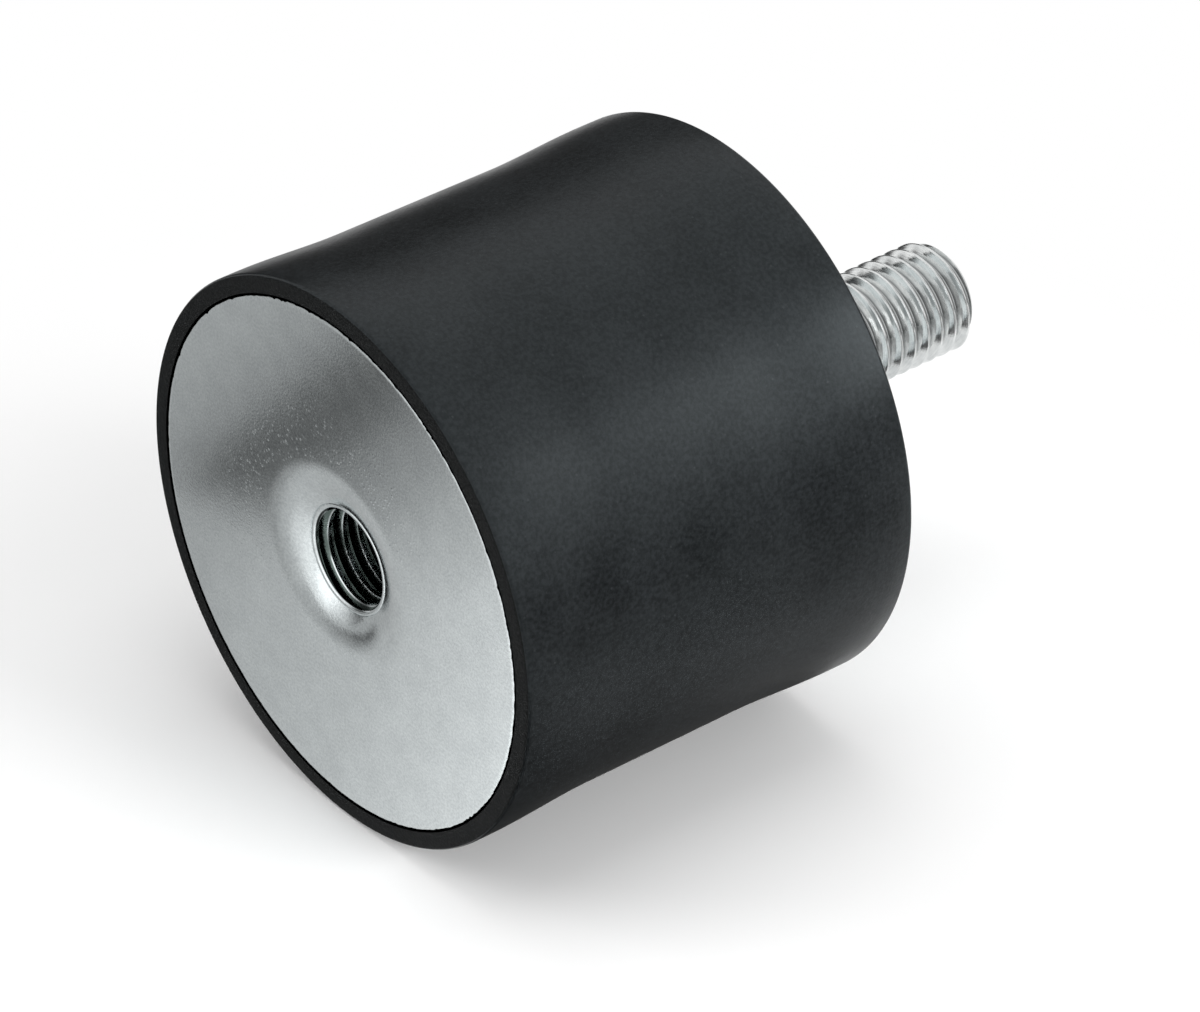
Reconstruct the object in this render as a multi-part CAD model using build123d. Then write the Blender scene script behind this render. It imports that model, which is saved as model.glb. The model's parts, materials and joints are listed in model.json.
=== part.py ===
from build123d import *

import os

# Cylindrical rubber buffer with a threaded socket at one end and a stud at the other.
# Millimetres. The axis is +Z. The origin is the centre of the socket end's face,
# which the buffer stands on; the stud points up.

# Rubber body
body_diameter = 50.0
body_height = 40.0
waist_depth = 0.4  # how far the side draws in, on the radius
flare_length = 10.0  # height over which the side draws in, beyond each plate
rim_round = 0.35  # the soft outer edge at each end

# Steel end plates, which the rubber wraps up to their outer faces
rubber_wrap = 1.6  # how far the rubber stands out round each plate
plate_thickness = 2.0
plate_edge_round = 0.3  # rolled edge on the side that the rubber grips

# Threaded socket, drawn from the plate's own sheet into a closed cup
socket_core_diameter = 8.5  # the hole that an M10 thread is cut in
mouth_chamfer = 0.35  # lead-in to the thread, at 45 degrees
lip_width = 0.45  # nearly flat ring, faced round the mouth
lip_depth = 0.05  # its fall towards the hole
dish_width = 4.45  # ring round the lip where the plate sinks towards the socket
dish_depth = 1.1
thread_depth = 12.0  # from the plate's face to the end of the straight wall
cup_wall = 2.3  # outside the core, so it holds the thread's depth too
cup_floor = 1.6
cup_floor_cone = 1.2  # how far the floor sinks past the straight wall
cup_corner_round = 1.6
cup_root_round = 1.0  # where the cup leaves the back of the plate

# Threaded stud, M10, pressed through the second plate from the inside
stud_diameter = 10.0
stud_length = 25.0  # from the plate's face to the tip
tip_chamfer_height = 1.0
tip_chamfer_width = 1.05  # on the radius, a little more than the thread's depth
neck_step = 0.7  # how much wider the plain seat in the plate's hole is, on the radius
head_diameter = 19.0
head_thickness = 3.2
head_edge_round = 0.8

body_radius = body_diameter / 2
waist_radius = body_radius - waist_depth
plate_radius = body_radius - rubber_wrap
core_radius = socket_core_diameter / 2
lip_inner_radius = core_radius + mouth_chamfer
mouth_radius = lip_inner_radius + lip_width
dish_radius = mouth_radius + dish_width
cup_radius = core_radius + cup_wall
cup_end = thread_depth + cup_floor_cone + cup_floor
plate_back_level = body_height - plate_thickness  # inner face of the stud's plate
stud_tip = body_height + stud_length


def turned(edges, sharp_points=(), rounds=()):
    """Turns the edges, drawn in the XZ half plane, about Z after rounding their sharp points."""
    profile = Face(Wire(edges))
    for point, radius in zip(sharp_points, rounds):
        corner = profile.vertices().sort_by_distance(Vector(*point))[0]
        profile = profile.fillet_2d(radius, [corner])
    return revolve(Plane.XZ * profile, Axis.Z)


def outline(*points):
    """The straight edges of a closed outline, given as (radius, height) points."""
    return Polyline(*points, close=True).edges()


def rubber_blank():
    """The moulding's outside: a band round each plate, flared ends, a straight waist, soft rims."""
    foot = (body_radius, 0)
    foot_band = (body_radius, plate_thickness)
    waist_start = (waist_radius, plate_thickness + flare_length)
    waist_end = (waist_radius, plate_back_level - flare_length)
    top_band = (body_radius, plate_back_level)
    shoulder = (body_radius, body_height)
    edges = [
        Line((0, 0), foot),
        Line(foot, foot_band),
        TangentArc(waist_start, foot_band, tangent=(0, -1)),
        Line(waist_start, waist_end),
        TangentArc(waist_end, top_band, tangent=(0, 1)),
        Line(top_band, shoulder),
        Line(shoulder, (0, body_height)),
        Line((0, body_height), (0, 0)),
    ]
    return turned(edges, [foot, shoulder], [rim_round, rim_round])


def socket_blank():
    """The pressed plate and its closed cup, before the face is dished and the hole is cut."""
    plate_rim = (plate_radius, plate_thickness)
    cup_root = (cup_radius, plate_thickness + dish_depth)
    cup_corner = (cup_radius, cup_end)
    dish_back = (dish_radius, plate_thickness)
    edges = outline(
        (0, 0), (plate_radius, 0), plate_rim, dish_back, cup_root, cup_corner, (0, cup_end)
    )
    return turned(
        edges, [plate_rim, cup_root, cup_corner], [plate_edge_round, cup_root_round, cup_corner_round]
    )


def socket_space():
    """The air in the socket: dish, lip, lead-in, threaded hole and its coned end."""
    dish_edge = (dish_radius, 0)
    mouth = (mouth_radius, dish_depth)
    lip_inner = (lip_inner_radius, dish_depth + lip_depth)
    core_top = (core_radius, dish_depth + lip_depth + mouth_chamfer)
    core_end = (core_radius, thread_depth)
    cone_tip = (0, thread_depth + cup_floor_cone)
    edges = [
        Line((0, 0), dish_edge),
        TangentArc(dish_edge, mouth, tangent=(-1, 0)),
        Line(mouth, lip_inner),
        Line(lip_inner, core_top),
        Line(core_top, core_end),
        Line(core_end, cone_tip),
        Line(cone_tip, (0, 0)),
    ]
    return turned(edges)


def stud_plate_blank():
    """The stud's plate before it is pierced."""
    plate_rim = (plate_radius, plate_back_level)
    edges = outline(
        (0, plate_back_level), plate_rim, (plate_radius, body_height), (0, body_height)
    )
    return turned(edges, [plate_rim], [plate_edge_round])


def threaded_stud():
    """Head, neck and shank of the stud; the shank is drawn at the thread's outside."""
    head_back = plate_back_level - head_thickness
    head_radius = head_diameter / 2
    stud_radius = stud_diameter / 2
    neck_radius = stud_radius + neck_step
    head_rim = (head_radius, head_back)
    edges = outline(
        (0, head_back),
        head_rim,
        (head_radius, plate_back_level),
        (neck_radius, plate_back_level),
        (neck_radius, body_height),
        (stud_radius, body_height),
        (stud_radius, stud_tip - tip_chamfer_height),
        (stud_radius - tip_chamfer_width, stud_tip),
        (0, stud_tip),
    )
    return turned(edges, [head_rim], [head_edge_round])


def build_parts():
    """Every separate piece of the buffer, by name."""
    stud = threaded_stud()
    stud_plate = stud_plate_blank() - stud
    socket_plate = socket_blank() - socket_space()
    rubber_body = rubber_blank() - socket_blank() - stud_plate_blank() - stud
    return {
        "rubber_body": rubber_body,
        "socket_plate": socket_plate,
        "stud_plate": stud_plate,
        "threaded_stud": stud,
    }


os.makedirs("parts", exist_ok=True)
for name, piece in build_parts().items():
    export_step(piece, f"parts/{name}.step")
    print(name, "volume", round(piece.volume, 1), "mm3")
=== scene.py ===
import json
import math

import bmesh
import bpy
from mathutils import Matrix, Vector


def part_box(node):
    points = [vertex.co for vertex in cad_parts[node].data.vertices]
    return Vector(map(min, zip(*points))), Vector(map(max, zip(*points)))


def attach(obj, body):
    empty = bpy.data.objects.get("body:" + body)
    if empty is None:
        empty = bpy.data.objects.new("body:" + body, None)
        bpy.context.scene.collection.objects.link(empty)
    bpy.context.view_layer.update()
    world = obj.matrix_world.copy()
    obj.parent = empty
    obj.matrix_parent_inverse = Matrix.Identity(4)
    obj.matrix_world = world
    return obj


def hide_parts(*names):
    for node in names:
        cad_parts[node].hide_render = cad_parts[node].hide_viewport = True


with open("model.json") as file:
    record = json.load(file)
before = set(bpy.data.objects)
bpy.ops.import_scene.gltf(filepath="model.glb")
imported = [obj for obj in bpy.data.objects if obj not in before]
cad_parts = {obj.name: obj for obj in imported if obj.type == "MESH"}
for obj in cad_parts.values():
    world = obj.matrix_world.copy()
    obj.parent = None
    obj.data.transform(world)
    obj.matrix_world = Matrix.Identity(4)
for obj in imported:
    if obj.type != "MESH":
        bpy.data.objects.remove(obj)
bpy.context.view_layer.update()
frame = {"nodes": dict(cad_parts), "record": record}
print("frame loaded:", ", ".join(sorted(frame["nodes"])))

mm = 0.001

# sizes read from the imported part
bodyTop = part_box("rubber_body")[1]
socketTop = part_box("socket_plate")[1]
studPlateLow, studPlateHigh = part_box("stud_plate")
studLow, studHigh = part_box("threaded_stud")
mounts = {mount["name"]: mount for mount in frame["record"]["mounts"]}
coreRadius = mounts["socket"]["dims"]["r_mm"] * mm
studRadius = mounts["stud"]["dims"]["r_mm"] * mm

bodyRadius = bodyTop.x
bodyHeight = bodyTop.z
plateRadius = socketTop.x
plateThickness = studPlateHigh.z - studPlateLow.z
cupEnd = socketTop.z
headRadius = studHigh.x
headBack = studLow.z
studTip = studHigh.z
plateBack = bodyHeight - plateThickness  # inner face of the stud's plate


# modelling helpers

def deselectAll():
    if bpy.context.object and bpy.context.object.mode != "OBJECT":
        bpy.ops.object.mode_set(mode="OBJECT")
    bpy.ops.object.select_all(action="DESELECT")


def startCylinder(name, radius, low, high, sides=288):
    # a cylinder on the part's axis, open for editing with nothing selected
    deselectAll()
    bpy.ops.mesh.primitive_cylinder_add(
        vertices=sides, radius=radius, depth=high - low, location=(0, 0, (low + high) / 2)
    )
    piece = bpy.context.object
    piece.name = name
    piece.data.name = name
    bpy.ops.object.transform_apply(location=True, rotation=True, scale=True)
    bpy.ops.object.mode_set(mode="EDIT")
    bpy.ops.mesh.select_all(action="DESELECT")
    return piece


def pick(kind, test):
    # selects the vertices, edges or faces whose middle passes the test
    bpy.ops.mesh.select_mode(type=kind)
    bpy.ops.mesh.select_all(action="DESELECT")
    mesh = bmesh.from_edit_mesh(bpy.context.object.data)
    if kind == "VERT":
        for vertex in mesh.verts:
            vertex.select_set(test(vertex.co))
    elif kind == "EDGE":
        for edge in mesh.edges:
            edge.select_set(test((edge.verts[0].co + edge.verts[1].co) / 2))
    else:
        for face in mesh.faces:
            face.select_set(test(face.calc_center_median()))
    mesh.select_flush_mode()
    bmesh.update_edit_mesh(bpy.context.object.data)


def pickCap(height):
    # the flat face that closes the piece on its axis at this height
    pick("FACE", lambda middle: middle.xy.length < 0.01 * mm and abs(middle.z - height) < 0.01 * mm)


def pickRing(kind, radius, height, slack=0.02 * mm):
    # the vertices or edges of one ring, by its radius and height
    def onRing(middle):
        return abs(middle.xy.length - radius) < slack and abs(middle.z - height) < slack

    pick(kind, onRing)


def growCap(start, steps):
    # pulls the picked cap through (radius, height) steps, as extrude, scale and move would by hand
    radius, height = start
    for nextRadius, nextHeight in steps:
        ratio = nextRadius / radius
        bpy.ops.mesh.extrude_region()
        bpy.ops.transform.resize(value=(ratio, ratio, 1), center_override=(0, 0, height))
        bpy.ops.transform.translate(value=(0, 0, nextHeight - height))
        radius, height = nextRadius, nextHeight


def arcSteps(centre, radius, start, stop, count):
    # (radius, height) steps along an arc, its angles in degrees from the outward direction
    steps = []
    for i in range(count + 1):
        angle = math.radians(start + (stop - start) * i / count)
        steps.append((centre[0] + radius * math.cos(angle), centre[1] + radius * math.sin(angle)))
    return steps


def applyModifier(piece, kind, **settings):
    deselectAll()
    piece.select_set(True)
    bpy.context.view_layer.objects.active = piece
    modifier = piece.modifiers.new(kind.title(), kind)
    for name, value in settings.items():
        setattr(modifier, name, value)
    bpy.ops.object.modifier_apply(modifier=modifier.name)


def cutWith(piece, tool, operation):
    applyModifier(piece, "BOOLEAN", object=tool, operation=operation, solver="EXACT")
    bpy.data.objects.remove(tool)


def finishPiece(piece, material, node, smoothAngle):
    deselectAll()
    piece.select_set(True)
    bpy.context.view_layer.objects.active = piece
    bpy.ops.object.mode_set(mode="EDIT")
    bpy.ops.mesh.select_all(action="SELECT")
    bpy.ops.mesh.remove_doubles(threshold=0.001 * mm)  # slivers that a cut left
    bpy.ops.object.mode_set(mode="OBJECT")
    bpy.ops.object.shade_smooth_by_angle(angle=math.radians(smoothAngle))
    piece.data.materials.clear()
    piece.data.materials.append(material)
    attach(piece, "root")
    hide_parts(node)
    print("made", piece.name, "with", len(piece.data.polygons), "faces")


# camera, as the photograph was taken: the part lies on its side on the floor

cameraView = {
    "lens": 210,  # mm
    "sensor": 36,  # mm
    "nearest": 0.01,  # nothing nearer than this is drawn
    "location": (0.37419, -0.32463, -0.27491),
    "turn": (145.495, -51.067, 0.0),  # degrees
}


def addCamera():
    data = bpy.data.cameras.new("studioCamera")
    data.lens = cameraView["lens"]
    data.sensor_width = cameraView["sensor"]
    data.clip_start = cameraView["nearest"]
    camera = bpy.data.objects.new("studioCamera", data)
    camera.location = cameraView["location"]
    camera.rotation_euler = [math.radians(angle) for angle in cameraView["turn"]]
    bpy.context.scene.collection.objects.link(camera)
    bpy.context.scene.camera = camera
    bpy.context.view_layer.update()
    return camera


camera = addCamera()
photoRight = camera.matrix_world.to_3x3() @ Vector((1, 0, 0))
photoUp = Vector((0, -1, 0))  # away from the floor that the part lies on
photoAway = photoUp.cross(photoRight)  # along that floor, away from the camera
bodyMiddle = Vector((0, 0, bodyHeight / 2))
print("camera placed")


# shader helpers

def addNode(tree, kind, place, **settings):
    node = tree.nodes.new(kind)
    node.location = place
    for name, value in settings.items():
        setattr(node, name, value)
    return node


def feed(tree, socket, value):
    # a number or a colour is written on the socket, and an output is linked to it
    if isinstance(value, bpy.types.NodeSocket):
        tree.links.new(value, socket)
    else:
        socket.default_value = value


def calculate(tree, place, operation, first, second=0.0):
    node = addNode(tree, "ShaderNodeMath", place, operation=operation)
    feed(tree, node.inputs[0], first)
    feed(tree, node.inputs[1], second)
    return node.outputs[0]


def easeRange(tree, place, value, low, high, start=0.0, end=1.0):
    # low..high becomes start..end, eased and held at both ends
    node = addNode(tree, "ShaderNodeMapRange", place, interpolation_type="SMOOTHSTEP")
    amounts = {"Value": value, "From Min": low, "From Max": high, "To Min": start, "To Max": end}
    for name, amount in amounts.items():
        feed(tree, node.inputs[name], amount)
    return node.outputs[0]


def addShares(tree, place, first, firstShare, second, secondShare):
    # the sum of two masks, each weighted by its share
    across, up = place
    parts = [
        calculate(tree, (across - 150, up - 150 * row), "MULTIPLY", mask, share)
        for row, (mask, share) in enumerate(((first, firstShare), (second, secondShare)))
    ]
    return calculate(tree, place, "ADD", *parts)


def blendColors(tree, place, share, first, second):
    node = addNode(tree, "ShaderNodeMix", place, data_type="RGBA")
    feed(tree, node.inputs[0], share)
    feed(tree, node.inputs[6], first)
    feed(tree, node.inputs[7], second)
    return node.outputs[2]


def fillRamp(ramp, stops):
    # the ramp's stops, as (place, grey)
    steps = ramp.color_ramp.elements
    while len(steps) < len(stops):
        steps.new(0.5)
    for step, (share, grey) in zip(steps, stops):
        step.position = share
        step.color = (grey, grey, grey, 1)


def newMaterial(name):
    material = bpy.data.materials.new(name)
    material.use_nodes = True
    material.node_tree.nodes.clear()
    return material


def newGroup(name, inputs, outputs):
    group = bpy.data.node_groups.new(name, "ShaderNodeTree")
    for title, kind in inputs:
        group.interface.new_socket(title, in_out="INPUT", socket_type="NodeSocket" + kind)
    for title in outputs:
        group.interface.new_socket(title, in_out="OUTPUT", socket_type="NodeSocketFloat")
    entry = addNode(group, "NodeGroupInput", (-1200, 0))
    leaving = addNode(group, "NodeGroupOutput", (600, 0))
    return group, entry.outputs, leaving.inputs


def useGroup(tree, group, place, **values):
    node = addNode(tree, "ShaderNodeGroup", place, node_tree=group)
    for name, value in values.items():
        feed(tree, node.inputs[name], value)
    return node.outputs


# shared effects

noiseLook = {
    "cloudDetail": 6,
    "grainDetail": 3,
    "roughness": 0.6,
    "range": (0.3, 0.7),  # of the noise, drawn out to 0..1
    "speckRange": (0.12, 0.42),  # from a speck's middle to its edge, as shares of its cell
    "streakDetail": 3,
    "streakRange": (0.35, 0.68),
}


def grainGroup():
    # clouds, fine grain and scattered specks, each at its own size in metres
    group, given, result = newGroup("surfaceGrain", [
        ("vector", "Vector"), ("cloudSize", "Float"), ("grainSize", "Float"),
        ("speckSize", "Float"), ("speckShare", "Float"),
    ], ["cloud", "grain", "speck"])
    links = group.links
    for row, title in enumerate(("cloud", "grain")):
        height = 300 - 250 * row
        noise = addNode(group, "ShaderNodeTexNoise", (-600, height))
        links.new(given["vector"], noise.inputs["Vector"])
        scale = calculate(group, (-900, height), "DIVIDE", 1.0, given[title + "Size"])
        links.new(scale, noise.inputs["Scale"])
        noise.inputs["Detail"].default_value = noiseLook[title + "Detail"]
        noise.inputs["Roughness"].default_value = noiseLook["roughness"]
        links.new(easeRange(group, (-300, height), noise.outputs[0], *noiseLook["range"]), result[title])
    cells = addNode(group, "ShaderNodeTexVoronoi", (-600, -250))
    links.new(given["vector"], cells.inputs["Vector"])
    scale = calculate(group, (-900, -250), "DIVIDE", 1.0, given["speckSize"])
    links.new(scale, cells.inputs["Scale"])
    near = easeRange(group, (-300, -200), cells.outputs["Distance"], *noiseLook["speckRange"], 1.0, 0.0)
    chance = addNode(group, "ShaderNodeSeparateColor", (-400, -400))
    links.new(cells.outputs["Color"], chance.inputs[0])
    present = calculate(group, (-200, -400), "LESS_THAN", chance.outputs[0], given["speckShare"])
    sized = calculate(group, (0, -300), "MULTIPLY", present, chance.outputs[1])
    links.new(calculate(group, (200, -250), "MULTIPLY", near, sized), result["speck"])
    return group


def ringGroup():
    # distance from the part's axis and height along it, with streaks that run round the axis
    group, given, result = newGroup("roundTheAxis", [
        ("vector", "Vector"), ("streakLength", "Float"), ("streakWidth", "Float"),
    ], ["radius", "height", "streak"])
    links = group.links
    parts = addNode(group, "ShaderNodeSeparateXYZ", (-900, 200))
    links.new(given["vector"], parts.inputs[0])
    across = addNode(group, "ShaderNodeCombineXYZ", (-700, 300))
    links.new(parts.outputs[0], across.inputs[0])
    links.new(parts.outputs[1], across.inputs[1])
    length = addNode(group, "ShaderNodeVectorMath", (-500, 300), operation="LENGTH")
    links.new(across.outputs[0], length.inputs[0])
    links.new(length.outputs["Value"], result["radius"])
    links.new(parts.outputs[2], result["height"])
    stretched = addNode(group, "ShaderNodeCombineXYZ", (-500, -100))
    for row, size in enumerate(("streakLength", "streakLength", "streakWidth")):
        scaled = calculate(group, (-700, -150 * row), "DIVIDE", parts.outputs[row], given[size])
        links.new(scaled, stretched.inputs[row])
    noise = addNode(group, "ShaderNodeTexNoise", (-300, -100))
    links.new(stretched.outputs[0], noise.inputs["Vector"])
    noise.inputs["Scale"].default_value = 1
    noise.inputs["Detail"].default_value = noiseLook["streakDetail"]
    links.new(easeRange(group, (0, -100), noise.outputs[0], *noiseLook["streakRange"]), result["streak"])
    return group


surfaceGrain = grainGroup()
roundTheAxis = ringGroup()


# materials

def newSurface(name):
    # a material with its shader, and the piece's own coordinates
    material = newMaterial(name)
    tree = material.node_tree
    coords = addNode(tree, "ShaderNodeTexCoord", (-1600, 0)).outputs["Object"]
    shader = addNode(tree, "ShaderNodeBsdfPrincipled", (0, 0))
    output = addNode(tree, "ShaderNodeOutputMaterial", (300, 0))
    tree.links.new(shader.outputs[0], output.inputs[0])
    return material, tree, coords, shader


def placeGrain(tree, coords, look):
    sizes = {name: look[name] for name in ("cloudSize", "grainSize", "speckSize", "speckShare")}
    return useGroup(tree, surfaceGrain, (-1300, 200), vector=coords, **sizes)


def placeStreaks(tree, coords, look):
    sizes = {name: look[name] for name in ("streakLength", "streakWidth")}
    return useGroup(tree, roundTheAxis, (-1300, -200), vector=coords, **sizes)


def addBump(tree, place, relief, distance):
    bump = addNode(tree, "ShaderNodeBump", place)
    bump.inputs["Distance"].default_value = distance
    tree.links.new(relief, bump.inputs["Height"])
    return bump


rubberLook = {
    "dark": (0.0003, 0.0006, 0.0007, 1),
    "bloom": (0.0140, 0.0161, 0.0174, 1),
    "speckColor": (0.036, 0.040, 0.042, 1),
    "specular": 0.29,
    "specularTint": (0.84, 0.95, 1.0, 1),
    "roughness": (0.29, 0.34),
    "cloudSize": 7 * mm,
    "cloudShare": 0.30,  # of the bloom
    "grainSize": 0.36 * mm,
    "grainShare": 0.55,
    "speckSize": 0.36 * mm,
    "speckShare": 0.08,
    "speckStrength": 0.35,
    "streakLength": 9 * mm,
    "streakWidth": 0.22 * mm,
    "streakShare": 0.12,
    "streakRelief": 0.3,
    "streakZone": (27 * mm, 36 * mm),  # the streaks set in between these heights
    "bump": 0.0030 * mm,
}


def rubberMaterial():
    look = rubberLook
    material, tree, coords, shader = newSurface("mouldedRubber")
    grain = placeGrain(tree, coords, look)
    ring = placeStreaks(tree, coords, look)
    zone = easeRange(tree, (-1000, -200), ring["height"], *look["streakZone"])
    streak = calculate(tree, (-800, -200), "MULTIPLY", ring["streak"], zone)
    pale = addShares(
        tree, (-800, 150), grain["cloud"], look["cloudShare"], grain["grain"], look["grainShare"]
    )
    pale = addShares(tree, (-600, 50), pale, 1.0, streak, look["streakShare"])
    color = blendColors(tree, (-450, 200), pale, look["dark"], look["bloom"])
    dust = calculate(tree, (-450, 0), "MULTIPLY", grain["speck"], look["speckStrength"])
    color = blendColors(tree, (-250, 200), dust, color, look["speckColor"])
    tree.links.new(color, shader.inputs["Base Color"])
    rough = easeRange(tree, (-250, 0), grain["cloud"], 0.0, 1.0, *look["roughness"])
    tree.links.new(rough, shader.inputs["Roughness"])
    shader.inputs["Specular IOR Level"].default_value = look["specular"]
    shader.inputs["Specular Tint"].default_value = look["specularTint"]
    relief = addShares(tree, (-450, -250), grain["grain"], 1.0, streak, look["streakRelief"])
    bump = addBump(tree, (-250, -250), relief, look["bump"])
    tree.links.new(bump.outputs[0], shader.inputs["Normal"])
    return material


trimmedLook = {
    "dark": (0.0036, 0.0042, 0.0043, 1),
    "pale": (0.0090, 0.0100, 0.0103, 1),
    "specular": 0.12,
    "roughness": 0.7,
    "grainSize": 0.3 * mm,
    "bump": 0.02 * mm,
}


def trimmedMaterial():
    # the end faces, where the flash was trimmed off: black and almost without gloss
    look = trimmedLook
    material, tree, coords, shader = newSurface("trimmedRubber")
    grain = useGroup(tree, surfaceGrain, (-900, 100), vector=coords, grainSize=look["grainSize"])
    color = blendColors(tree, (-300, 150), grain["grain"], look["dark"], look["pale"])
    tree.links.new(color, shader.inputs["Base Color"])
    shader.inputs["Roughness"].default_value = look["roughness"]
    shader.inputs["Specular IOR Level"].default_value = look["specular"]
    bump = addBump(tree, (-300, -200), grain["grain"], look["bump"])
    tree.links.new(bump.outputs[0], shader.inputs["Normal"])
    return material


zincPlateLook = {
    "dull": (0.63, 0.675, 0.685, 1),
    "bright": (0.84, 0.895, 0.90, 1),
    "roughness": (0.10, 0.15),
    "cloudSize": 2.5 * mm,
    "cloudShare": 0.3,
    "grainSize": 0.24 * mm,
    "grainShare": 0.7,
    "speckSize": 0.30 * mm,
    "speckShare": 0.6,
    "bump": 0.0028 * mm,
    "pitBump": 0.012 * mm,
    # radii between which drawing the cup roughened the sheet: start, full, fade, end
    "drawnZone": (8.5 * mm, 10 * mm, 12 * mm, 17 * mm),
    "pitsElsewhere": 0.05,
    # painted shade inside the bore: near black behind the mouth, less dark further in
    "boreShadeColor": (0.014, 0.018, 0.017, 1),
    "boreShadeDeep": (0.11, 0.14, 0.13, 1),
    "boreEdge": (5.1 * mm, 5.2 * mm),  # radii
    "boreStart": (1.20 * mm, 1.26 * mm),  # heights between which the painted shade in the bore sets in
    "boreInner": (1.55 * mm, 1.75 * mm),
    "crestEdge": (4.29 * mm, 4.40 * mm),
    # along Y across the bore: how much of the painted shade the crests are spared, most on the side where
    # they catch the light
    "crestShadeLift": [(0, 0.6), (0.45, 0.5), (0.6, 0.32), (0.68, 0.08), (0.83, 0.1), (0.88, 0.95), (1, 1)],
}


def boreShadeMasks(tree, coords, ring, look):
    # painted shade: the bore is coloured dark behind its mouth, and its crests are spared from it on the side
    # where they catch the light
    behindMouth = easeRange(tree, (-1000, -100), ring["height"], *look["boreStart"])
    insideBore = easeRange(tree, (-1000, -300), ring["radius"], *look["boreEdge"], 1.0, 0.0)
    onCrest = easeRange(tree, (-1000, -500), ring["radius"], *look["crestEdge"], 1.0, 0.0)
    place = addNode(tree, "ShaderNodeSeparateXYZ", (-1400, -700))
    tree.links.new(coords, place.inputs[0])
    across = easeRange(tree, (-1200, -700), place.outputs[1], -coreRadius, coreRadius)
    # the crests are spared the painted shade by side, most where they catch the light
    crestLiftRamp = addNode(tree, "ShaderNodeValToRGB", (-1000, -700))
    fillRamp(crestLiftRamp, look["crestShadeLift"])
    tree.links.new(across, crestLiftRamp.inputs[0])
    unshadedCrests = calculate(tree, (-750, -500), "MULTIPLY", onCrest, crestLiftRamp.outputs[0])
    crestShadeKept = calculate(tree, (-600, -400), "SUBTRACT", 1.0, unshadedCrests)
    bore = calculate(tree, (-750, -150), "MULTIPLY", behindMouth, insideBore)
    bore = calculate(tree, (-600, -250), "MULTIPLY", bore, crestShadeKept)
    farIn = easeRange(tree, (-700, -50), ring["height"], *look["boreInner"])
    return bore, farIn


def zincPlateMaterial():
    look = zincPlateLook
    material, tree, coords, shader = newSurface("zincPlate")
    grain = placeGrain(tree, coords, look)
    ring = useGroup(tree, roundTheAxis, (-1300, -200), vector=coords)
    tone = addShares(
        tree, (-850, 250), grain["cloud"], look["cloudShare"], grain["grain"], look["grainShare"]
    )
    color = blendColors(tree, (-600, 250), tone, look["dull"], look["bright"])
    # painted shade: the bore's inside is coloured dark behind its mouth
    bore, farIn = boreShadeMasks(tree, coords, ring, look)
    boreShadeColor = blendColors(tree, (-550, 0), farIn, look["boreShadeColor"], look["boreShadeDeep"])
    color = blendColors(tree, (-400, 200), bore, color, boreShadeColor)
    tree.links.new(color, shader.inputs["Base Color"])
    shader.inputs["Metallic"].default_value = 1
    rough = easeRange(tree, (-400, 0), tone, 0.0, 1.0, *look["roughness"])
    tree.links.new(rough, shader.inputs["Roughness"])
    start, full, fade, end = look["drawnZone"]
    drawn = calculate(
        tree, (-600, -700), "MULTIPLY",
        easeRange(tree, (-800, -650), ring["radius"], start, full),
        easeRange(tree, (-800, -900), ring["radius"], fade, end, 1.0, look["pitsElsewhere"]),
    )
    pitted = calculate(tree, (-400, -600), "MULTIPLY", grain["speck"], drawn)
    fine = addBump(tree, (-400, -250), grain["grain"], look["bump"])
    pits = addBump(tree, (-200, -250), pitted, look["pitBump"])
    tree.links.new(fine.outputs[0], pits.inputs["Normal"])
    tree.links.new(pits.outputs[0], shader.inputs["Normal"])
    return material


zincStudLook = {
    "dull": (0.60, 0.62, 0.62, 1),
    "bright": (0.86, 0.87, 0.865, 1),
    "rootDirtAndShadeColor": (0.30, 0.31, 0.31, 1),
    "rootEdge": (4.15 * mm, 4.45 * mm),  # radii over which the dirt and painted shade in the thread roots thin out
    "rootDirtAndShadeShare": 0.8,
    "roughness": (0.09, 0.17),
    "cloudSize": 1.6 * mm,
    "cloudShare": 0.55,
    "grainSize": 0.12 * mm,
    "speckSize": 0.3 * mm,
    "speckShare": 0.25,
    "streakLength": 2 * mm,
    "streakWidth": 0.07 * mm,
    "streakShare": 0.45,
    "streakRelief": 0.6,
    "bump": 0.0025 * mm,
}


def zincStudMaterial():
    look = zincStudLook
    material, tree, coords, shader = newSurface("zincStud")
    grain = placeGrain(tree, coords, look)
    ring = placeStreaks(tree, coords, look)
    tone = addShares(
        tree, (-850, 250), grain["cloud"], look["cloudShare"], ring["streak"], look["streakShare"]
    )
    color = blendColors(tree, (-600, 250), tone, look["dull"], look["bright"])
    # darker in the thread roots: dirt and painted shade
    rootDirtAndShade = easeRange(tree, (-850, -200), ring["radius"], *look["rootEdge"], look["rootDirtAndShadeShare"], 0.0)
    color = blendColors(tree, (-400, 200), rootDirtAndShade, color, look["rootDirtAndShadeColor"])
    tree.links.new(color, shader.inputs["Base Color"])
    shader.inputs["Metallic"].default_value = 1
    rough = easeRange(tree, (-400, 0), tone, 0.0, 1.0, *look["roughness"])
    tree.links.new(rough, shader.inputs["Roughness"])
    relief = addShares(tree, (-600, -250), grain["speck"], 1.0, ring["streak"], look["streakRelief"])
    bump = addBump(tree, (-300, -250), relief, look["bump"])
    tree.links.new(bump.outputs[0], shader.inputs["Normal"])
    return material


rubber = rubberMaterial()
trimmedRubber = trimmedMaterial()
zincPlate = zincPlateMaterial()
zincStud = zincStudMaterial()
print("materials built")


# screw threads, M10 coarse, right hand

threadForm = {
    "pitch": 1.5 * mm,
    "steps": 96,  # straight stretches in one turn
    "crestHalf": 0.10 * mm,
    "rootHalf": 0.13 * mm,
    "crestRound": 0.05 * mm,
    "seam": 0.03 * mm,  # shallow line that rolling leaves along the crest
}


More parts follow.
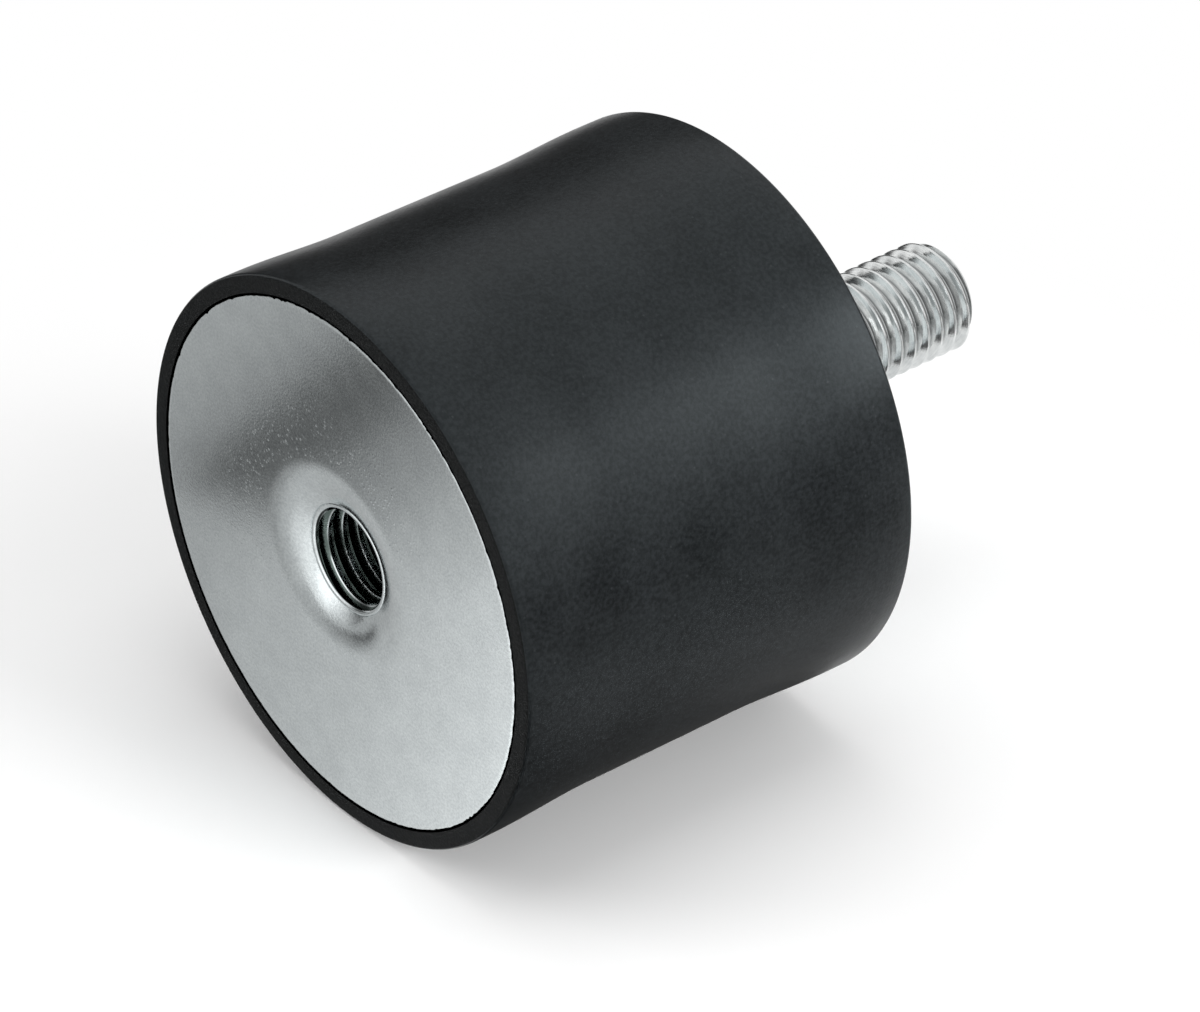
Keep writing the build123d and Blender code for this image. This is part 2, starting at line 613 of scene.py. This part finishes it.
def threadRod(name, crest, root, low, turns):
    # a closed rod with a helical ridge: a rib is drawn point by point, then screwed up the axis
    form = threadForm
    pitch = form["pitch"]
    # (radius, height) from the root's middle up the flank to the crest
    rising = [
        (root, 0),
        (root, form["rootHalf"] * 0.6),
        (root + 0.05 * mm, form["rootHalf"] * 1.25),
        (crest - form["crestRound"], pitch / 2 - form["crestHalf"] * 1.3),
        (crest - form["crestRound"] * 0.25, pitch / 2 - form["crestHalf"] * 0.9),
        (crest, pitch / 2 - form["crestHalf"] * 0.45),
    ]
    falling = [(radius, pitch - height) for radius, height in reversed(rising)]
    rib = rising + [(crest - form["seam"], pitch / 2)] + falling
    deselectAll()
    bpy.ops.mesh.primitive_plane_add(size=mm, location=(rib[0][0], 0, low + rib[0][1]))
    rod = bpy.context.object
    rod.name = name
    bpy.ops.object.transform_apply(location=True)
    bpy.ops.object.mode_set(mode="EDIT")
    bpy.ops.mesh.select_mode(type="VERT")
    bpy.ops.mesh.select_all(action="SELECT")
    bpy.ops.mesh.merge(type="CENTER")
    for here, there in zip(rib, rib[1:]):
        step = (there[0] - here[0], 0, there[1] - here[1])
        bpy.ops.mesh.extrude_region_move(TRANSFORM_OT_translate={"value": step})
    bpy.ops.object.mode_set(mode="OBJECT")
    applyModifier(
        rod, "SCREW", angle=2 * math.pi, screw_offset=pitch, iterations=turns,
        steps=form["steps"], render_steps=form["steps"], axis="Z",
        use_merge_vertices=False, use_normal_calculate=True,
    )
    bpy.ops.object.mode_set(mode="EDIT")
    bpy.ops.mesh.select_all(action="SELECT")
    bpy.ops.mesh.remove_doubles(threshold=0.001 * mm)
    middle = low + pitch * (turns + 1) / 2
    for closesLower in (True, False):
        bpy.ops.mesh.select_mode(type="EDGE")
        bpy.ops.mesh.select_all(action="DESELECT")
        bpy.ops.mesh.select_non_manifold(extend=False)
        mesh = bmesh.from_edit_mesh(rod.data)
        for edge in mesh.edges:
            if (edge.verts[0].co.z < middle) != closesLower:
                edge.select_set(False)
        bmesh.update_edit_mesh(rod.data)
        bpy.ops.mesh.extrude_edges_move()
        bpy.ops.mesh.merge(type="CENTER")
    bpy.ops.mesh.select_all(action="SELECT")
    bpy.ops.mesh.normals_make_consistent(inside=False)
    bpy.ops.object.mode_set(mode="OBJECT")
    return rod


# rubber body

rubberShape = {
    "sides": 576,
    "waistDepth": 0.4 * mm,
    "flareLength": 10 * mm,
    "flareRings": 10,
    "rimRound": 0.35 * mm,
    "endBand": 0.5 * mm,  # ring kept flat beside each plate
    "plateEdge": 0.3 * mm,  # height of each plate's rolled edge
    "flashReach": 0.28 * mm,  # how far the thin flash runs in over each plate's edge
    "flashThickness": 0.09 * mm,
    "flashLean": 0.03 * mm,
    "flashWander": 0.30 * mm,
    "flashWaves": 192,
    "flashBreadth": 0.45,  # how much of each wave moves
    "flashSoften": 0.35,
    "flashSeed": 11,
}


def roughenFlash(radius, height, seed):
    # the flash's inner edge wanders as moulded rubber does, and stays flat
    shape = rubberShape
    wave = 2 * math.pi / shape["flashWaves"]
    slack = 0.02 * mm
    reach = shape["flashWander"] + 0.1 * mm

    def onWave(middle):
        onRing = abs(middle.xy.length - radius) < slack and abs(middle.z - height) < slack
        return onRing and math.atan2(middle.y, middle.x) % wave < wave * shape["flashBreadth"]

    pick("VERT", onWave)
    bpy.ops.transform.vertex_random(offset=shape["flashWander"], seed=seed)
    pickRing("VERT", radius, height, reach)
    bpy.ops.mesh.vertices_smooth(factor=shape["flashSoften"], repeat=1, zaxis=False)
    bpy.ops.transform.resize(value=(1, 1, 0), center_override=(0, 0, height))


def makeRubberBody():
    shape = rubberShape
    piece = startCylinder("rubberBody", bodyRadius, 0, bodyHeight, shape["sides"])
    rings = [(plateThickness, bodyRadius)]
    for i in range(1, shape["flareRings"] + 1):
        share = i / shape["flareRings"]
        ease = share * share * (3 - 2 * share)
        level = plateThickness + share * shape["flareLength"]
        rings.append((level, bodyRadius - ease * shape["waistDepth"]))
    rings = rings + [(bodyHeight - height, radius) for height, radius in rings]
    for height, radius in rings:
        bpy.ops.mesh.select_all(action="SELECT")
        bpy.ops.mesh.bisect(plane_co=(0, 0, height), plane_no=(0, 0, 1))
    for height, radius in rings:
        pickRing("VERT", bodyRadius, height)
        ratio = radius / bodyRadius
        bpy.ops.transform.resize(value=(ratio, ratio, 1), center_override=(0, 0, height))
    for height in (0, bodyHeight):
        pickRing("EDGE", bodyRadius, height)
        bpy.ops.mesh.bevel(offset=shape["rimRound"], segments=5, profile=0.5)
    rimRadius = bodyRadius - shape["rimRound"]
    lipRadius = plateRadius - shape["flashReach"]
    # each end: in to the lip, round the plate's edge and along its back
    for outer, side in ((0, 1), (bodyHeight, -1)):
        pickCap(outer)
        growCap((rimRadius, outer), [
            (plateRadius + shape["endBand"], outer),
            (plateRadius, outer),
            (lipRadius, outer),
            (lipRadius + shape["flashLean"], outer + side * shape["flashThickness"]),
            (plateRadius, outer + side * shape["plateEdge"]),
            (plateRadius, outer + side * plateThickness),
        ])
    # the socket end goes on up the cup, and the stud end round the head
    pickCap(plateThickness)
    growCap((plateRadius, plateThickness), [
        (socketShape["dishRadius"], plateThickness),
        (socketShape["cupRadius"], plateThickness + socketShape["dishDepth"]),
        (socketShape["cupRadius"], cupEnd),
    ])
    pickCap(plateBack)
    growCap((plateRadius, plateBack), [(headRadius, plateBack), (headRadius, headBack)])
    roughenFlash(lipRadius, 0, shape["flashSeed"])
    roughenFlash(lipRadius, bodyHeight, shape["flashSeed"] + 1)
    bpy.ops.object.mode_set(mode="OBJECT")
    finishPiece(piece, rubber, "rubber_body", 40)
    piece.data.materials.append(trimmedRubber)
    bpy.ops.object.mode_set(mode="EDIT")
    inset = 0.1 * mm

    def onEndFace(middle):
        return middle.xy.length > plateRadius - mm and not inset < middle.z < bodyHeight - inset

    pick("FACE", onEndFace)
    piece.active_material_index = 1
    bpy.ops.object.material_slot_assign()
    bpy.ops.object.mode_set(mode="OBJECT")
    return piece


# socket plate, one sheet with a drawn cup

socketShape = {
    # the rolled rim of the face, as (inward, height)
    "edgeDrop": [
        (0, 0.25 * mm), (0.07 * mm, 0.10 * mm), (0.25 * mm, 0.035 * mm), (0.5 * mm, 0), (0.62 * mm, 0),
    ],
    "faceRings": (16 * mm, 11 * mm),
    "dishRadius": 9.5 * mm,
    "dishDepth": 1.1 * mm,
    "dishRings": 20,
    "lipRadius": 4.94 * mm,
    "lipStep": 0.05 * mm,  # where the tool that faced the lip bit into the dish
    "lipGroove": 0.02 * mm,
    # the faced lip and its rounded inner edge, as (inward, height)
    "lip": [(0.09 * mm, 1.10 * mm), (0.22 * mm, 1.105 * mm), (0.36 * mm, 1.15 * mm), (0.45 * mm, 1.24 * mm)],
    "leadEnd": 1.50 * mm,
    "boreEnd": 12 * mm,
    "boreCone": 1.2 * mm,
    "cupRadius": 6.55 * mm,
    "rootRound": [(0.3 * mm, 0.1 * mm), (0, 0.8 * mm)],  # where the cup leaves the back, as (outward, height)
    "cornerRound": 1.6 * mm,
    "backRound": 0.22 * mm,
    "threadRoot": 5.04 * mm,
    "threadStart": 1.272 * mm,
    "threadEnd": 11.7 * mm,
    "tapCore": 0.1 * mm,  # how much thinner the tap's own core is than the bore, on the radius
    "tapLow": -2.7 * mm,
    "tapTurns": 9,
}


def makeSocketPlate():
    shape = socketShape
    lipRadius = shape["lipRadius"]
    dishWidth = shape["dishRadius"] - lipRadius
    sweep = (dishWidth ** 2 + shape["dishDepth"] ** 2) / (2 * shape["dishDepth"])
    edge = [(plateRadius - inward, height) for inward, height in shape["edgeDrop"]]
    piece = startCylinder("socketPlate", plateRadius, edge[0][1], plateThickness)
    pickRing("EDGE", plateRadius, plateThickness)
    bpy.ops.mesh.bevel(offset=shape["backRound"], segments=4, profile=0.5)
    dish = []
    for i in range(shape["dishRings"] + 1):
        inward = dishWidth * i / shape["dishRings"]
        dish.append((shape["dishRadius"] - inward, sweep - math.sqrt(sweep ** 2 - inward ** 2)))
    # the face: rolled edge, flat, dish, faced lip, lead-in, thread core
    pickCap(edge[0][1])
    flat = [(radius, 0) for radius in shape["faceRings"]]
    groove = [(lipRadius - shape["lipGroove"], shape["dishDepth"] + shape["lipStep"])]
    lip = [(lipRadius - inward, height) for inward, height in shape["lip"]]
    bore = [(coreRadius, shape["leadEnd"]), (coreRadius, shape["boreEnd"])]
    growCap(edge[0], edge[1:] + flat + dish + groove + lip + bore)
    bpy.ops.mesh.extrude_region()
    bpy.ops.transform.translate(value=(0, 0, shape["boreCone"]))
    bpy.ops.mesh.merge(type="CENTER")
    # the back: flat, dish, root of the cup, wall, rounded corner
    cupRadius, cornerRound = shape["cupRadius"], shape["cornerRound"]
    backDish = [(radius, height + plateThickness) for radius, height in dish if radius > cupRadius + mm]
    rootLevel = plateThickness + shape["dishDepth"]
    root = [(cupRadius + outward, rootLevel + height) for outward, height in shape["rootRound"]]
    corner = arcSteps((cupRadius - cornerRound, cupEnd - cornerRound), cornerRound, 0, 90, 8)
    pickCap(plateThickness)
    growCap((plateRadius - shape["backRound"], plateThickness), backDish + root + corner)
    bpy.ops.object.mode_set(mode="OBJECT")
    tapCore = coreRadius - shape["tapCore"]
    tap = threadRod("tap", shape["threadRoot"], tapCore, shape["tapLow"], shape["tapTurns"])
    reach = startCylinder(
        "reach", shape["threadRoot"] + shape["tapCore"], shape["threadStart"], shape["threadEnd"]
    )
    bpy.ops.object.mode_set(mode="OBJECT")
    cutWith(tap, reach, "INTERSECT")
    cutWith(piece, tap, "DIFFERENCE")
    finishPiece(piece, zincPlate, "socket_plate", 35)
    return piece


# stud plate

studPlateShape = {
    "rimRound": 0.22 * mm,
    "holeRadius": 5.7 * mm,
    "holeChamfer": 0.15 * mm,
}


def makeStudPlate():
    shape = studPlateShape
    piece = startCylinder("studPlate", plateRadius, plateBack, bodyHeight)
    for height in (plateBack, bodyHeight):
        pickRing("EDGE", plateRadius, height)
        bpy.ops.mesh.bevel(offset=shape["rimRound"], segments=4, profile=0.5)
    faceRadius = plateRadius - shape["rimRound"]
    pickCap(bodyHeight)
    growCap((faceRadius, bodyHeight), [
        (shape["holeRadius"] + shape["holeChamfer"], bodyHeight),
        (shape["holeRadius"], bodyHeight - shape["holeChamfer"]),
    ])
    bpy.ops.mesh.delete(type="FACE")
    pickCap(plateBack)
    growCap((faceRadius, plateBack), [(shape["holeRadius"], plateBack)])
    bpy.ops.mesh.delete(type="FACE")
    pick("EDGE", lambda middle: middle.xy.length < shape["holeRadius"] + 0.01 * mm)
    bpy.ops.mesh.bridge_edge_loops()
    bpy.ops.mesh.select_all(action="SELECT")
    bpy.ops.mesh.normals_make_consistent(inside=False)
    bpy.ops.object.mode_set(mode="OBJECT")
    finishPiece(piece, zincPlate, "stud_plate", 35)
    return piece


# threaded stud

studShape = {
    "headRound": 0.8 * mm,
    "neckRadius": 5.7 * mm,
    "threadRoot": 4.1 * mm,
    "tipRadius": 3.95 * mm,
    "tipHeight": 1.0 * mm,
    "neckRound": 0.15 * mm,
    "blankRoom": 0.2 * mm,  # how far the blank that cuts the shank stands off its crests
    "shankSink": 0.5 * mm,  # how far the shank runs into the neck
    "threadLead": 2 * mm,  # spare thread at both ends, which the blank cuts off
    "spareTurns": 4,
}


def makeThreadedStud():
    shape = studShape
    piece = startCylinder("threadedStud", headRadius, headBack, plateBack)
    pickRing("EDGE", headRadius, headBack)
    bpy.ops.mesh.bevel(offset=shape["headRound"], segments=5, profile=0.5)
    pickCap(plateBack)
    growCap((headRadius, plateBack), [
        (shape["neckRadius"], plateBack),
        (shape["neckRadius"], bodyHeight - shape["neckRound"]),
        (shape["neckRadius"] - shape["neckRound"], bodyHeight),
    ])
    bpy.ops.object.mode_set(mode="OBJECT")
    # the shank is a thread cut to length by a chamfered blank
    blankRadius = studRadius + shape["blankRoom"]
    shoulder = studTip - shape["tipHeight"] - shape["blankRoom"]
    blank = startCylinder("blank", blankRadius, plateBack + shape["shankSink"], shoulder)
    pickCap(shoulder)
    growCap((blankRadius, shoulder), [(shape["tipRadius"], studTip)])
    bpy.ops.object.mode_set(mode="OBJECT")
    turns = round((studTip - plateBack) / threadForm["pitch"]) + shape["spareTurns"]
    shank = threadRod("shank", studRadius, shape["threadRoot"], plateBack - shape["threadLead"], turns)
    cutWith(shank, blank, "INTERSECT")
    cutWith(piece, shank, "UNION")
    finishPiece(piece, zincStud, "threaded_stud", 20)
    return piece


makeRubberBody()
makeSocketPlate()
makeStudPlate()
makeThreadedStud()


# floors: the one that the part lies on in the photograph, and the one that it stands on

floorLook = {
    "size": 3.0,
    "color": (0.98, 0.98, 0.98, 1),
    "glow": 0.03,  # added for the camera and for reflections alone
    "whiteFrom": 48 * mm,  # past this distance from the part the floor fades to white
    "whiteTo": 85 * mm,
}


def floorMaterial(name, lightsPart):
    # seen from its front only, and solid to other rays only where it may light the part
    material = newMaterial(name)
    tree = material.node_tree
    links = tree.links
    rays = addNode(tree, "ShaderNodeLightPath", (-900, 200)).outputs
    coords = addNode(tree, "ShaderNodeTexCoord", (-1100, -100)).outputs["Object"]
    distance = addNode(tree, "ShaderNodeVectorMath", (-900, -100), operation="LENGTH")
    links.new(coords, distance.inputs[0])
    look = floorLook
    faded = easeRange(tree, (-700, -100), distance.outputs["Value"], look["whiteFrom"], look["whiteTo"])
    seen = calculate(tree, (-700, 150), "MAXIMUM", rays["Is Camera Ray"], rays["Is Glossy Ray"])
    surface = addNode(tree, "ShaderNodeBsdfDiffuse", (-300, 0))
    surface.inputs["Color"].default_value = look["color"]
    glow = addNode(tree, "ShaderNodeEmission", (-300, -150))
    links.new(calculate(tree, (-500, -200), "MULTIPLY", seen, look["glow"]), glow.inputs["Strength"])
    both = addNode(tree, "ShaderNodeAddShader", (-100, 0))
    links.new(surface.outputs[0], both.inputs[0])
    links.new(glow.outputs[0], both.inputs[1])
    white = addNode(tree, "ShaderNodeEmission", (-100, -200))
    farFloor = addNode(tree, "ShaderNodeMixShader", (50, -100))
    links.new(calculate(tree, (-300, -300), "MULTIPLY", seen, faded), farFloor.inputs[0])
    links.new(both.outputs[0], farFloor.inputs[1])
    links.new(white.outputs[0], farFloor.inputs[2])
    geometry = addNode(tree, "ShaderNodeNewGeometry", (-900, 400)).outputs
    solid = calculate(tree, (-700, 350), "SUBTRACT", 1.0, geometry["Backfacing"])
    if not lightsPart:
        solid = calculate(tree, (-500, 300), "MULTIPLY", solid, rays["Is Camera Ray"])
    clear = addNode(tree, "ShaderNodeBsdfTransparent", (50, 150))
    mix = addNode(tree, "ShaderNodeMixShader", (250, 0))
    links.new(solid, mix.inputs[0])
    links.new(clear.outputs[0], mix.inputs[1])
    links.new(farFloor.outputs[0], mix.inputs[2])
    output = addNode(tree, "ShaderNodeOutputMaterial", (450, 0))
    links.new(mix.outputs[0], output.inputs[0])
    return material


def addFloor(name, location, turn, lightsPart):
    deselectAll()
    bpy.ops.mesh.primitive_plane_add(size=floorLook["size"], location=location, rotation=turn)
    floor = bpy.context.object
    floor.name = name
    floor.data.materials.append(floorMaterial(name, lightsPart))


addFloor("lyingFloor", (0, bodyRadius, bodyHeight / 2), (math.pi / 2, 0, 0), True)
addFloor("standingFloor", (0, 0, -0.02 * mm), (0, 0, 0), False)


# cards that only reflections see, as a photographer sets round bright metal

studioCards = {
    # where its middle is, as right, up and away from the camera; width and height; tone, where 1 is white;
    # how soft its two sides, its foot and its top are, as shares of the card
    "behindShade": ((-51, 76, 170), (252, 205), 0.09, (0.12, 0.18, 0, 0.52)),
    "rightShade": ((165, 4, -50), (150, 64), 0.16, (0.2, 0.2, 0, 0.6)),
    "frontShade": ((35, -2, -165), (110, 46), 0.10, (0.3, 0.3, 0, 0.35)),
    "frontTopShade": ((-34, 140, -75), (110, 100), 0.36, (0.3, 0.3, 0.25, 0.25)),
    "tipShade": ((120, 0, 110), (110, 70), 0.10, (0.25, 0.25, 0, 0.3)),
    "leftShade": ((-168, 24, 28), (155, 110), 0.08, (0.2, 0.6, 0, 0.45)),
    "keyCard": ((84, 55, -18), (56, 60), 4.9, (0.75, 0.12, 0.1, 0.3)),
    "studFlag": ((48, 16, 15), (36, 36), 0.45, (0.15, 0.25, 0.1, 0.2)),
    "studShade": ((-68, 45, 134), (46, 120), 0.05, (0.15, 0.15, 0, 0.12)),
    "leftCard": ((-144, 12, -90), (150, 110), 1.42, (0.3, 0.15, 0, 0.2)),
}

floorCards = {
    # middle on X and Z, height off the floor, turn about the upright; tones run along the card's own X
    "plateShade": {
        "middle": (-86, -34), "lift": 0.2, "size": (131, 175), "turn": 36, "edges": (0, 0, 0, 0),
        "tones": [
            (0, 0.42), (0.69, 0.42), (0.78, 0.51), (0.85, 0.57), (0.885, 0.65), (0.94, 0.76),
            (0.962, 0.84), (1, 0.97),
        ],
    },
    "bandShade": {
        "middle": (-65.3, -45.6), "lift": 0.4, "size": (116, 72), "turn": 17, "edges": (0, 0, 0.6, 0.12),
        "tones": [
            (0, 0.42), (0.46, 0.42), (0.535, 0.35), (0.565, 0.27), (0.598, 0.10), (0.635, 0.13),
            (0.70, 0.30), (0.80, 0.50), (0.90, 0.80), (1, 1.0),
        ],
    },
    # painted shadow: a dark sheet that reflections see on the floor under the part, along its contact
    "contactShade": {
        "middle": (11, 24), "lift": 0.3, "size": (18, 40), "turn": 0, "edges": (0.4, 0.4, 0.35, 0.12),
        "tones": [(0, 0.10), (1, 0.10)],
    },
    # painted shadow: a dark sheet that reflections see on the floor beside the part, darkest near it
    "sideShade": {
        "middle": (96, 39), "lift": 0.2, "size": (180, 110), "turn": -35, "edges": (0.02, 0.3, 0.2, 0.1),
        "tones": [
            (0, 0.06), (0.07, 0.08), (0.11, 0.13), (0.15, 0.27), (0.21, 0.50), (0.4, 0.50),
            (0.6, 0.42), (1, 0.35),
        ],
    },
}


def newCard(name, place, turn, size):
    deselectAll()
    bpy.ops.mesh.primitive_plane_add(size=1, location=place, rotation=turn)
    card = bpy.context.object
    card.name = name
    card.scale = (size[0] * mm, size[1] * mm, 1)
    material = newMaterial(name)
    card.data.materials.append(material)
    coords = addNode(material.node_tree, "ShaderNodeTexCoord", (-1100, 0)).outputs["Object"]
    return card, material.node_tree, coords


def softEdges(tree, coords, edges):
    # the place across the card, and a mask that falls to 0 at each soft edge
    parts = addNode(tree, "ShaderNodeSeparateXYZ", (-900, 0))
    tree.links.new(coords, parts.inputs[0])
    across, upward = parts.outputs[0], parts.outputs[1]
    solid = 1.0
    sides = ((across, -1), (across, 1), (upward, -1), (upward, 1))
    for row, ((value, side), soft) in enumerate(zip(sides, edges)):
        if soft:
            up = 300 - 150 * row
            edge = easeRange(tree, (-700, up), value, side * (0.5 - soft), side * 0.5, 1.0, 0.0)
            solid = calculate(tree, (-500, up), "MULTIPLY", solid, edge)
    return across, solid


def finishCard(card, tree, solid, glow):
    # clear past its soft edges, and seen by reflections alone
    clear = addNode(tree, "ShaderNodeBsdfTransparent", (-300, 100))
    mix = addNode(tree, "ShaderNodeMixShader", (0, 0))
    feed(tree, mix.inputs[0], solid)
    tree.links.new(clear.outputs[0], mix.inputs[1])
    tree.links.new(glow.outputs[0], mix.inputs[2])
    output = addNode(tree, "ShaderNodeOutputMaterial", (200, 0))
    tree.links.new(mix.outputs[0], output.inputs[0])
    card.visible_camera = False
    card.visible_diffuse = False
    card.visible_shadow = False
    card.visible_transmission = False


def addCard(name, place, size, tone, edges):
    # upright, facing the part
    right, up, away = (amount * mm for amount in place)
    outward = (photoRight * right + photoAway * away).normalized()
    turn = Matrix((photoUp.cross(outward), photoUp, outward)).transposed().to_euler()
    middle = bodyMiddle + photoRight * right + photoUp * up + photoAway * away
    card, tree, coords = newCard(name, middle, turn, size)
    solid = softEdges(tree, coords, edges)[1]
    glow = addNode(tree, "ShaderNodeEmission", (-300, -150))
    glow.inputs["Strength"].default_value = tone
    finishCard(card, tree, solid, glow)


def addFloorCard(name, middle, lift, size, turn, edges, tones):
    # lying on the floor of the photograph
    place = (middle[0] * mm, bodyRadius - lift * mm, middle[1] * mm)
    card, tree, coords = newCard(name, place, (math.pi / 2, math.radians(turn), 0), size)
    across, solid = softEdges(tree, coords, edges)
    ramp = addNode(tree, "ShaderNodeValToRGB", (-500, -300))
    ramp.color_ramp.interpolation = "EASE"
    fillRamp(ramp, tones)
    tree.links.new(calculate(tree, (-700, -300), "ADD", across, 0.5), ramp.inputs[0])
    glow = addNode(tree, "ShaderNodeEmission", (-100, -200))
    tree.links.new(ramp.outputs[0], glow.inputs["Color"])
    finishCard(card, tree, solid, glow)


for name, card in studioCards.items():
    addCard(name, *card)
for name, card in floorCards.items():
    addFloorCard(name, **card)


# light

studioLight = {
    "world": 0.55,  # strength for diffuse rays
    "lamps": [
        # name, right, up, away from the camera, width, height, brightness where white is 1
        ("overhead", 0.0, 0.60, 0.0, 0.45, 0.45, 1.5),
        ("rightFront", 0.50, 0.16, -0.29, 0.36, 0.30, 10.5),
        ("left", -0.52, 0.30, 0.0, 0.30, 0.30, 3.4),
    ],
}


def addWorld():
    world = bpy.data.worlds.new("whiteStudio")
    bpy.context.scene.world = world
    world.use_nodes = True
    tree = world.node_tree
    tree.nodes.clear()
    rays = addNode(tree, "ShaderNodeLightPath", (-800, 0)).outputs
    seen = calculate(tree, (-600, 0), "MAXIMUM", rays["Is Camera Ray"], rays["Is Glossy Ray"])
    seen = calculate(tree, (-400, 0), "MAXIMUM", seen, rays["Is Transmission Ray"])
    background = addNode(tree, "ShaderNodeBackground", (0, 0))
    background.inputs["Color"].default_value = (1, 1, 1, 1)
    strength = easeRange(tree, (-200, 0), seen, 0.0, 1.0, studioLight["world"], 1.0)
    tree.links.new(strength, background.inputs["Strength"])
    output = addNode(tree, "ShaderNodeOutputWorld", (200, 0))
    tree.links.new(background.outputs[0], output.inputs[0])


def addLamp(name, right, up, away, width, height, brightness):
    data = bpy.data.lights.new(name, "AREA")
    data.shape = "RECTANGLE"
    data.size = width
    data.size_y = height
    data.energy = brightness * math.pi * width * height
    lamp = bpy.data.objects.new(name, data)
    lamp.location = bodyMiddle + photoRight * right + photoUp * up + photoAway * away
    lamp.rotation_euler = (lamp.location - bodyMiddle).to_track_quat("Z", "Y").to_euler()
    lamp.visible_camera = False
    lamp.visible_glossy = False  # reflections see the white room and the cards
    bpy.context.scene.collection.objects.link(lamp)


addWorld()
for lamp in studioLight["lamps"]:
    addLamp(*lamp)
bpy.context.scene.view_settings.view_transform = "Standard"
print("floors and lamps placed")
